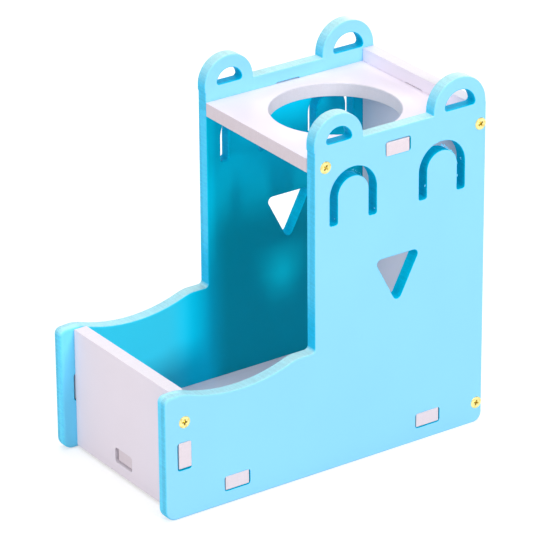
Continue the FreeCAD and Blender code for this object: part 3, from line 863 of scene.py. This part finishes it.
def close_geometry_tree(tree: bpy.types.NodeTree, shape: bpy.types.NodeSocket, material: bpy.types.Material) -> None:
    """Realizes the instances of a tree, gives them a material and ends the tree."""
    solid = add(tree, "GeometryNodeRealizeInstances", Geometry=shape)
    dressed = add(tree, "GeometryNodeSetMaterial", Geometry=solid.outputs[0], Material=material)
    add(tree, "NodeGroupOutput", Geometry=dressed.outputs[0])


def grow(name: str, mesh: bpy.types.Mesh, tree: bpy.types.NodeTree, sizes: dict[str, float]) -> bpy.types.Object:
    """Runs a geometry tree on a mesh and keeps the result as a plain mesh.

    Args:
        name: Name of the piece.
        mesh: The points or edges that the tree starts from.
        tree: The geometry tree.
        sizes: Values of its named inputs.

    Returns:
        The piece, with no modifier left on it.
    """
    piece = link_object(name, mesh)
    modifier = piece.modifiers.new(tree.name, "NODES")
    modifier.node_group = tree
    for item in tree.interface.items_tree:
        if item.in_out == "INPUT" and item.name in sizes:
            modifier[item.identifier] = sizes[item.name]
    evaluated = piece.evaluated_get(bpy.context.evaluated_depsgraph_get())
    result = bpy.data.meshes.new_from_object(evaluated)
    piece.modifiers.clear()
    piece.data = result
    return piece


@dataclass
class Screws:
    """The eight countersunk cross-recess screws, each driven to a turn of its own.

    A tree turns the head and shank from one line of rings, cuts the recess, winds the thread
    and sets a screw on each point.
    """

    stand: Stand
    head_radius: float = 2.3
    head_bevel: float = 0.14
    head_land: float = 0.4
    proud: float = 0.22  # the heads stand a little out of the boards
    shank_radius: float = 0.95
    thread_radius: float = 1.2
    thread_pitch: float = 1.1
    recess_length: float = 3.0
    recess_width: float = 0.9
    recess_depth: float = 1.1
    point_length: float = 2.6
    rings: int = 34
    facets: int = 28

    def points(self) -> tuple[bpy.types.Mesh, list[str], float]:
        """Finds the middle of each head's outer face.

        Returns:
            A mesh of one point for each screw, the CAD nodes and the screws' length.
        """
        nodes, spots, length = [], [], 0.0
        for side in Side:
            for screw in Screw:
                nodes.append(screw.node(side))
                low, high = node_box(nodes[-1])
                face = max(high.x, -low.x) + self.proud
                spots.append(Vector((side.value * face, *screw.place(side))) * MM)
                length = high.x - low.x
        mesh = bpy.data.meshes.new("screw_places")
        mesh.from_pydata(spots, [], [])
        return mesh, nodes, length

    def tree(self, sizes: dict[str, float], material: bpy.types.Material) -> bpy.types.NodeTree:
        """Builds the geometry tree.

        Args:
            sizes: The named inputs, in metres.
            material: Finish of the screws.

        Returns:
            The tree.
        """
        tree, inputs = new_geometry_tree("cross_recess_screws", sizes)
        size = {label: inputs.outputs[label] for label in sizes}

        def calc(operation: str, *values: object) -> bpy.types.NodeSocket:
            """Adds a math node on values or sockets and returns its result."""
            links = {f"i{k}": value for k, value in enumerate(values)}
            return add(tree, "ShaderNodeMath", {"operation": operation}, **links).outputs[0]

        index = add(tree, "GeometryNodeInputIndex").outputs[0]
        depth = calc("MULTIPLY", calc("POWER", calc("DIVIDE", index, self.rings - 1.0), 2.2), size["Length"])
        bevel = calc("ADD", calc("SUBTRACT", size["Head Radius"], size["Head Bevel"]), calc("MULTIPLY", depth, 1.4))
        cone = calc("SUBTRACT", size["Head Radius"], calc("SUBTRACT", depth, size["Head Land"]))
        body = calc("MAXIMUM", calc("MINIMUM", calc("MINIMUM", bevel, size["Head Radius"]), cone),
                    size["Shank Radius"])
        left = calc("SUBTRACT", size["Length"], depth)
        point = calc("ADD", calc("MULTIPLY", calc("DIVIDE", left, size["Point Length"]), size["Shank Radius"]),
                     0.08 * MM)
        radius = calc("MINIMUM", body, point)
        line = add(tree, "GeometryNodeMeshLine", Count=self.rings)
        down = add(tree, "ShaderNodeCombineXYZ", Z=calc("MULTIPLY", depth, -1.0))
        axis = add(tree, "GeometryNodeSetPosition", Geometry=line.outputs[0], Position=down.outputs[0])
        axis_curve = add(tree, "GeometryNodeMeshToCurve", Mesh=axis.outputs[0])
        ring = add(tree, "GeometryNodeCurvePrimitiveCircle", Resolution=self.facets, Radius=1.0)
        turned = add(tree, "GeometryNodeCurveToMesh", Curve=axis_curve.outputs[0], Profile_Curve=ring.outputs[0],
                     Scale=radius, Fill_Caps=True)

        half = calc("MULTIPLY", size["Recess Length"], math.sqrt(0.5))
        blade = add(tree, "GeometryNodeMeshCone", Vertices=4, Radius_Top=half,
                    Radius_Bottom=calc("MULTIPLY", half, 0.45), Depth=calc("MULTIPLY", size["Recess Depth"], 2.0))
        sunk = add(tree, "ShaderNodeCombineXYZ", Z=calc("MULTIPLY", size["Recess Depth"], -1.0))
        square = add(tree, "GeometryNodeTransform", Geometry=blade.outputs[0], Translation=sunk.outputs[0],
                     Rotation=(0, 0, math.pi / 4))
        narrow = calc("DIVIDE", size["Recess Width"], size["Recess Length"])
        along = add(tree, "ShaderNodeCombineXYZ", X=1.0, Y=narrow, Z=1.0)
        across = add(tree, "ShaderNodeCombineXYZ", X=narrow, Y=1.0, Z=1.0)
        blades = [add(tree, "GeometryNodeTransform", Geometry=square.outputs[0], Scale=scale.outputs[0]).outputs[0]
                  for scale in (along, across)]
        cut = add(tree, "GeometryNodeMeshBoolean", {"operation": "DIFFERENCE", "solver": "EXACT"},
                  Mesh_1=turned.outputs[0])
        for socket in blades:
            tree.links.new(socket, cut.inputs["Mesh 2"])

        threaded = calc("SUBTRACT", size["Length"], calc("ADD", size["Point Length"], size["Head Radius"]))
        helix = add(tree, "GeometryNodeCurveSpiral", Resolution=14,
                    Rotations=calc("DIVIDE", threaded, size["Thread Pitch"]),
                    Start_Radius=size["Shank Radius"], End_Radius=size["Shank Radius"], Height=threaded)
        lowered = add(tree, "ShaderNodeCombineXYZ",
                      Z=calc("MULTIPLY", calc("SUBTRACT", size["Length"], size["Point Length"]), -1.0))
        placed = add(tree, "GeometryNodeTransform", Geometry=helix.outputs[0], Translation=lowered.outputs[0])
        ridge = add(tree, "GeometryNodeCurvePrimitiveCircle", Resolution=4,
                    Radius=calc("SUBTRACT", size["Thread Radius"], size["Shank Radius"]))
        thread = add(tree, "GeometryNodeCurveToMesh", Curve=placed.outputs[0], Profile_Curve=ridge.outputs[0],
                     Fill_Caps=True)
        screw = add(tree, "GeometryNodeJoinGeometry")
        tree.links.new(cut.outputs[0], screw.inputs[0])
        tree.links.new(thread.outputs[0], screw.inputs[0])

        place = add(tree, "GeometryNodeInputPosition")
        parts = add(tree, "ShaderNodeSeparateXYZ", Vector=place.outputs[0])
        outward = add(tree, "ShaderNodeCombineXYZ", X=calc("SIGN", parts.outputs[0]))
        facing = add(tree, "FunctionNodeAlignRotationToVector", {"axis": "Z"}, Vector=outward.outputs[0])
        turn = add(tree, "FunctionNodeRandomValue", {"data_type": "FLOAT"}, i3=math.pi / 2, ID=index, Seed=SEED)
        spin = add(tree, "ShaderNodeCombineXYZ", Z=turn.outputs["Value"])
        spun = add(tree, "FunctionNodeEulerToRotation", Euler=spin.outputs[0])
        driven = add(tree, "FunctionNodeRotateRotation", {"rotation_space": "LOCAL"},
                     Rotation=facing.outputs[0], Rotate_By=spun.outputs[0])
        placed_screws = add(tree, "GeometryNodeInstanceOnPoints", Points=inputs.outputs["Geometry"],
                            Instance=screw.outputs[0], Rotation=driven.outputs[0])
        close_geometry_tree(tree, placed_screws.outputs[0], material)
        return tree

    def build(self, material: bpy.types.Material) -> bpy.types.Object:
        """Makes the eight screws as one piece.

        Args:
            material: Finish of the screws.

        Returns:
            The piece.
        """
        mesh, nodes, length = self.points()
        sizes = {"Length": length, "Head Radius": self.head_radius, "Head Bevel": self.head_bevel,
                 "Head Land": self.head_land, "Shank Radius": self.shank_radius,
                 "Thread Radius": self.thread_radius, "Thread Pitch": self.thread_pitch,
                 "Recess Length": self.recess_length, "Recess Width": self.recess_width,
                 "Recess Depth": self.recess_depth, "Point Length": self.point_length}
        sizes = {label: value * MM for label, value in sizes.items()}
        piece = grow("side_board_screws", mesh, self.tree(sizes, material), sizes)
        piece.data.shade_smooth()
        piece.data.set_sharp_from_angle(angle=math.radians(30))
        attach(piece, BODY)
        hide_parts(*nodes)
        log.info("%s: %d faces", piece.name, len(piece.data.polygons))
        return piece


@dataclass
class Swarf:
    """Crumbs and hairs of foam that cling to the cuts of the near eyes.

    A tree sets a crumb of its own size and turn about each point.
    """

    stand: Stand
    crumb_radius: float = 0.18
    depth_spread: float = 0.6
    side_spread: float = 0.5

    def runs(self) -> list[tuple[float, float, float, float, float]]:
        """Places crumbs along the cuts of the right side board.

        Returns:
            Their Y and Z, their depth below the outer face, their size and how far they stray.
        """
        s = self.stand
        board = SideBoard(s, Side.RIGHT)
        height = s.head_top - board.eye_drop
        tongue, slot = board.eye_radius - board.eye_slot / 2, board.eye_slot
        front, rear = s.face - board.eye_spacing / 2, s.face + board.eye_spacing / 2
        crumbs = []
        arcs = ((rear, 68, 20, tongue + 0.45, 4.4, 44, 1.0, 1.0), (rear, 58, 14, tongue + 0.1, 0.35, 7, 1.3, 0.2),
                (front, 72, 48, tongue + 0.45, 4.4, 6, 0.7, 0.8), (front, 40, 25, tongue + 0.9, 4.6, 3, 0.6, 0.5))
        for centre, start, end, radius, depth, count, size, stray in arcs:
            for k in range(count):
                angle = math.radians(start + (end - start) * k / (count - 1))
                crumbs.append((centre + radius * math.cos(angle), height + radius * math.sin(angle), depth,
                               size, stray))
        legs = ((rear, tongue + 0.1, 0.6, -3.6, 0.35, 6, 1.1, 0.2), (rear, tongue + 0.3, -4.8, -5.1, 0.4, 2, 1.9, 0.1),
                (rear, -tongue - 0.15, -5.3, -5.8, 1.0, 3, 1.1, 0.2),
                (rear, tongue + slot - 0.15, 0.6, 0.1, 1.9, 4, 0.9, 0.6),
                (front, tongue + slot - 0.15, -8.4, -8.8, 1.5, 5, 0.9, 0.9),
                (front, -tongue - 0.1, -8.4, -9.0, 1.6, 3, 0.8, 0.5))
        for centre, across, start, end, depth, count, size, stray in legs:
            for k in range(count):
                up = height + start + (end - start) * k / (count - 1)
                crumbs.append((centre + across, up, depth, size, stray))
        return crumbs

    def tree(self, sizes: dict[str, float], material: bpy.types.Material) -> bpy.types.NodeTree:
        """Builds the geometry tree.

        Args:
            sizes: The named inputs, in metres.
            material: Finish of the crumbs.

        Returns:
            The tree.
        """
        tree, inputs = new_geometry_tree("swarf_crumbs", sizes)
        depth, side = inputs.outputs["Depth Spread"], inputs.outputs["Side Spread"]
        spread = add(tree, "ShaderNodeCombineXYZ", X=depth, Y=side, Z=side)
        size, stray = (add(tree, "GeometryNodeInputNamedAttribute", {"data_type": "FLOAT"}, Name=name).outputs[0]
                       for name in ("size", "stray"))
        way = add(tree, "FunctionNodeRandomValue", {"data_type": "FLOAT_VECTOR"}, i0=(-1, -1, -1), i1=(1, 1, 1),
                  Seed=SEED)
        shift = add(tree, "ShaderNodeVectorMath", {"operation": "MULTIPLY"}, i0=way.outputs["Value"],
                    i1=spread.outputs[0])
        scaled_shift = add(tree, "ShaderNodeVectorMath", {"operation": "SCALE"}, i0=shift.outputs[0], Scale=stray)
        spots = add(tree, "GeometryNodeSetPosition", Geometry=inputs.outputs["Geometry"],
                    Offset=scaled_shift.outputs[0])
        crumb = add(tree, "GeometryNodeMeshIcoSphere", Radius=inputs.outputs["Crumb Radius"], Subdivisions=2)
        shape = add(tree, "FunctionNodeRandomValue", {"data_type": "FLOAT_VECTOR"}, i0=(0.5, 0.4, 0.4),
                    i1=(2.2, 0.9, 0.9), Seed=SEED + 1)
        scale = add(tree, "ShaderNodeVectorMath", {"operation": "SCALE"}, i0=shape.outputs["Value"], Scale=size)
        turn = add(tree, "FunctionNodeRandomValue", {"data_type": "FLOAT_VECTOR"}, i1=(math.tau,) * 3,
                   Seed=SEED + 2)
        spin = add(tree, "FunctionNodeEulerToRotation", Euler=turn.outputs["Value"])
        crumbs = add(tree, "GeometryNodeInstanceOnPoints", Points=spots.outputs[0], Instance=crumb.outputs[0],
                     Rotation=spin.outputs[0], Scale=scale.outputs[0])
        close_geometry_tree(tree, crumbs.outputs[0], material)
        return tree

    def build(self, material: bpy.types.Material) -> bpy.types.Object:
        """Makes all the swarf as one piece.

        Args:
            material: Finish of the crumbs.

        Returns:
            The piece.
        """
        runs = self.runs()
        mesh = bpy.data.meshes.new("swarf_places")
        face = self.stand.half_width
        mesh.from_pydata([Vector((face - depth, across, up)) * MM for across, up, depth, *_ in runs], [], [])
        for name, values in (("size", [run[3] for run in runs]), ("stray", [run[4] for run in runs])):
            mesh.attributes.new(name, "FLOAT", "POINT").data.foreach_set("value", values)
        sizes = {"Crumb Radius": self.crumb_radius, "Depth Spread": self.depth_spread,
                 "Side Spread": self.side_spread}
        sizes = {label: value * MM for label, value in sizes.items()}
        piece = grow("routing_swarf", mesh, self.tree(sizes, material), sizes)
        piece.data.shade_smooth()
        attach(piece, BODY)
        log.info("%s: %d faces", piece.name, len(piece.data.polygons))
        return piece


@dataclass
class Studio:
    """A pale floor, soft light and the camera of the photograph."""

    target: tuple[float, float, float] = (0.0, -6.3, 60.5)
    azimuth: float = 55.378
    elevation: float = 24.893
    roll: float = -0.419
    shift_right: float = 5.568
    shift_up: float = 5.806
    distance: float = 1434.16
    focal_pixels: float = 4027.89
    image_pixels: int = 540
    sensor: float = 36.0
    lamp_distance: float = 1.7  # metres
    surround: float = 0.42

    def camera(self) -> bpy.types.Object:
        """Sets up the camera where the photograph was taken from.

        Returns:
            The camera object.
        """
        az, el, roll = (math.radians(a) for a in (self.azimuth, self.elevation, self.roll))
        back = Vector((math.sin(az) * math.cos(el), -math.cos(az) * math.cos(el), math.sin(el)))
        right = Vector((math.cos(az), math.sin(az), 0))
        up = back.cross(right)
        right, up = right * math.cos(roll) + up * math.sin(roll), up * math.cos(roll) - right * math.sin(roll)
        place = Vector(self.target) + back * self.distance + right * self.shift_right + up * self.shift_up
        data = bpy.data.cameras.new("camera")
        data.sensor_width = self.sensor
        data.lens = self.focal_pixels / self.image_pixels * self.sensor
        data.clip_start, data.clip_end = 0.05, 20
        camera = link_object("camera", data)
        camera.matrix_world = Matrix.Translation(place * MM) @ Matrix((right, up, back)).transposed().to_4x4()
        bpy.context.scene.camera = camera
        return camera

    def floor(self) -> bpy.types.Object:
        """A wide pale floor that keeps the stand's shadow and looks white where it is lit.

        Returns:
            The floor.
        """
        material, tree = new_material("studio_floor")
        path = add(tree, "ShaderNodeLightPath")
        seen = add(tree, "ShaderNodeMath", {"operation": "MAXIMUM"},
                   i0=path.outputs["Is Camera Ray"], i1=path.outputs["Is Glossy Ray"])
        glow = add(tree, "ShaderNodeMath", {"operation": "MULTIPLY"}, i0=seen.outputs[0], i1=0.55)
        shader = add(tree, "ShaderNodeBsdfPrincipled", Base_Color=linear("C4C4C4"), Roughness=0.9,
                     Emission_Color=(1, 1, 1, 1), Emission_Strength=glow.outputs[0], Specular_IOR_Level=0.0)
        add(tree, "ShaderNodeOutputMaterial", Surface=shader.outputs[0])
        bm = bmesh.new()
        bmesh.ops.create_circle(bm, cap_ends=True, segments=64, radius=6.0)
        mesh = bpy.data.meshes.new("floor")
        bm.to_mesh(mesh)
        bm.free()
        mesh.materials.append(material)
        floor = link_object("floor", mesh)
        return floor

    def world(self) -> None:
        """An even white surround at a plain level, full white where it is seen."""
        world = bpy.data.worlds.new("surround")
        world.use_nodes = True
        tree = world.node_tree
        tree.nodes.clear()
        path = add(tree, "ShaderNodeLightPath")
        seen = add(tree, "ShaderNodeMath", {"operation": "MAXIMUM"},
                   i0=path.outputs["Is Camera Ray"], i1=path.outputs["Is Transmission Ray"])
        strength = add(tree, "ShaderNodeMapRange", Value=seen.outputs[0], To_Min=self.surround, To_Max=1.0)
        shine = add(tree, "ShaderNodeBackground", Color=(1, 1, 1, 1), Strength=strength.outputs[0])
        add(tree, "ShaderNodeOutputWorld", Surface=shine.outputs[0])
        bpy.context.scene.world = world

    def lamp(self, name: str, azimuth: float, elevation: float, size: float, level: float) -> None:
        """A soft square lamp that looks at the stand.

        Args:
            name: Name of the lamp.
            azimuth: Degrees round from the tray end towards the right side board.
            elevation: Degrees above the floor.
            size: Side of the square in metres.
            level: Brightness of a white card that faces the lamp at the stand.
        """
        az, el = math.radians(azimuth), math.radians(elevation)
        way = Vector((math.sin(az) * math.cos(el), -math.cos(az) * math.cos(el), math.sin(el)))
        data = bpy.data.lights.new(name, "AREA")
        data.shape, data.size = "SQUARE", size
        data.energy = level * (math.pi * self.lamp_distance) ** 2
        lamp = link_object(name, data)
        lamp.location = Vector(self.target) * MM + way * self.lamp_distance
        lamp.rotation_euler = (-way).to_track_quat("-Z", "Y").to_euler()

    def build(self) -> None:
        """Builds floor, surround, lamps and camera."""
        self.floor()
        self.world()
        self.lamp("side_lamp", 94, 20, 0.3, 0.57)
        self.lamp("front_lamp", 5, 25, 1.2, 0.42)
        self.lamp("back_lamp", 225, 12, 1.2, 0.55)
        self.lamp("top_lamp", 180, 85, 1.0, 0.42)
        self.camera()
        bpy.context.scene.view_settings.view_transform = "Standard"


def main() -> None:
    """Builds the stand's pieces and the studio round them."""
    blue = FoamedSheet("blue_foamed_pvc", skin="92D8FF", lip_painted_light="70D2FA", tray_painted_light="38D0EC", bay_painted_shade="00D6F8",
                       deep_skin="00AEC4", core="48CCF8", low_core="00C0F2", tray_core="60D0F6",
                       core_up="B9E2E4", tray_up="A8DBE5", wall="00CCF0", ear_wall="00BEE6",
                       swarf="86D2F2", gloss="50D0FF")
    white = FoamedSheet("white_foamed_pvc", skin="F0E6F1", lip_painted_light="F0E6F1", tray_painted_light="F0E6F1", bay_painted_shade="F0E6F1",
                        deep_skin="F0E6F1", core="E2D5DD", low_core="E2D5DD", tray_core="E2D5DD",
                        core_up="E3DDE5", tray_up="E3DDE5", wall="E0D9E1", ear_wall="E0D9E1",
                        swarf="F0E6F1", lip_glow=0.0,
                        brow_glow=0.0, cell_relief=0.12, tone_spread=0.02, chatter_spread=0.01)
    stand = Stand()
    for side in Side:
        SideBoard(stand, side).build(blue)
    WhiteBoards(stand).build(white)
    Screws(stand).build(BrassPlating().build())
    Swarf(stand).build(blue.crumbs())
    Studio().build()


if __name__ == "__main__":
    main()
